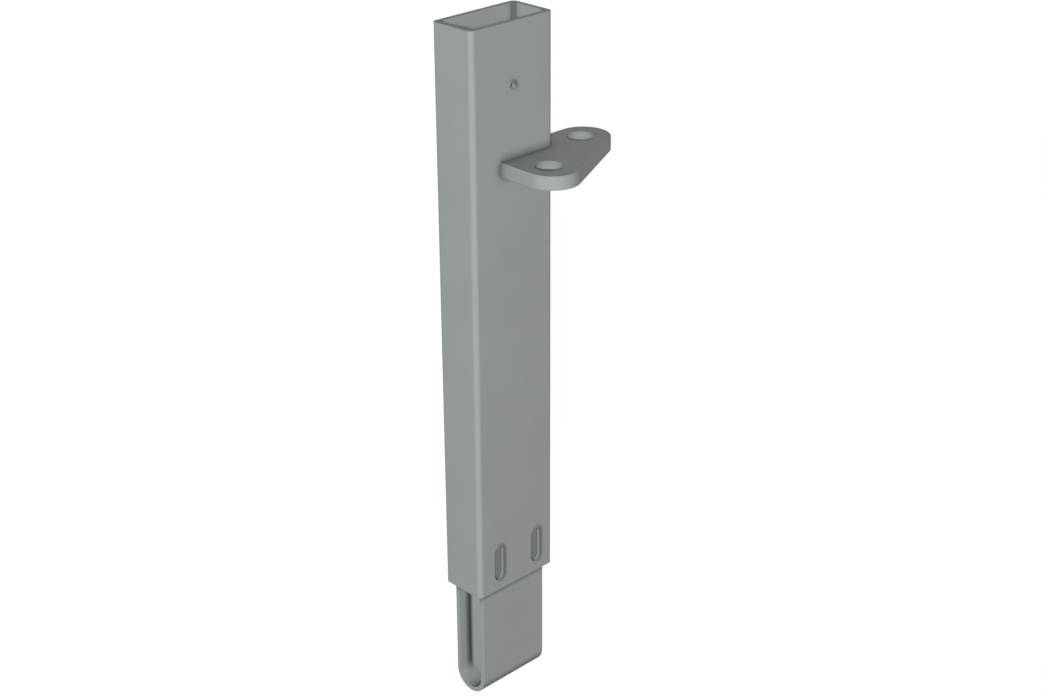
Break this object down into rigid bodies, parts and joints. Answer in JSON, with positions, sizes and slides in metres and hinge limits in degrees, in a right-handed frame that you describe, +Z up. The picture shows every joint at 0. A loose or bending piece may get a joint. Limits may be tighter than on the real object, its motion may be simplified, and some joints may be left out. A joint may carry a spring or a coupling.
{
  "type": "fence post",
  "caption": "Rectangular steel corner post for fence panels, with a drilled lug welded round one corner and a foot of bent flat bar that drops into a socket.",
  "frame": {"origin": "on the tube's axis, at the lowest line of the foot's bend", "axes": "+Z up along the tube, +X across the wide face towards the lug's side hole, -Y out of the wide face with the slots"},
  "size_m": [0.0995, 0.0695, 0.4165],
  "materials": {
    "tube_coat": "satin powder coat in mid grey with a faint green",
    "plate_coat": "satin powder coat over cut plate",
    "strap_coat": "satin powder coat over bent flat bar",
    "weld_coat": "satin powder coat over weld"
  },
  "bodies": {
    "root": {"post_tube": "tube_coat", "corner_lug": "plate_coat", "foot_strap": "strap_coat", "backing_bar": "plate_coat", "lug_weld": "weld_coat", "slot_welds": "weld_coat", "bar_weld": "weld_coat"}
  },
  "joints": []
}
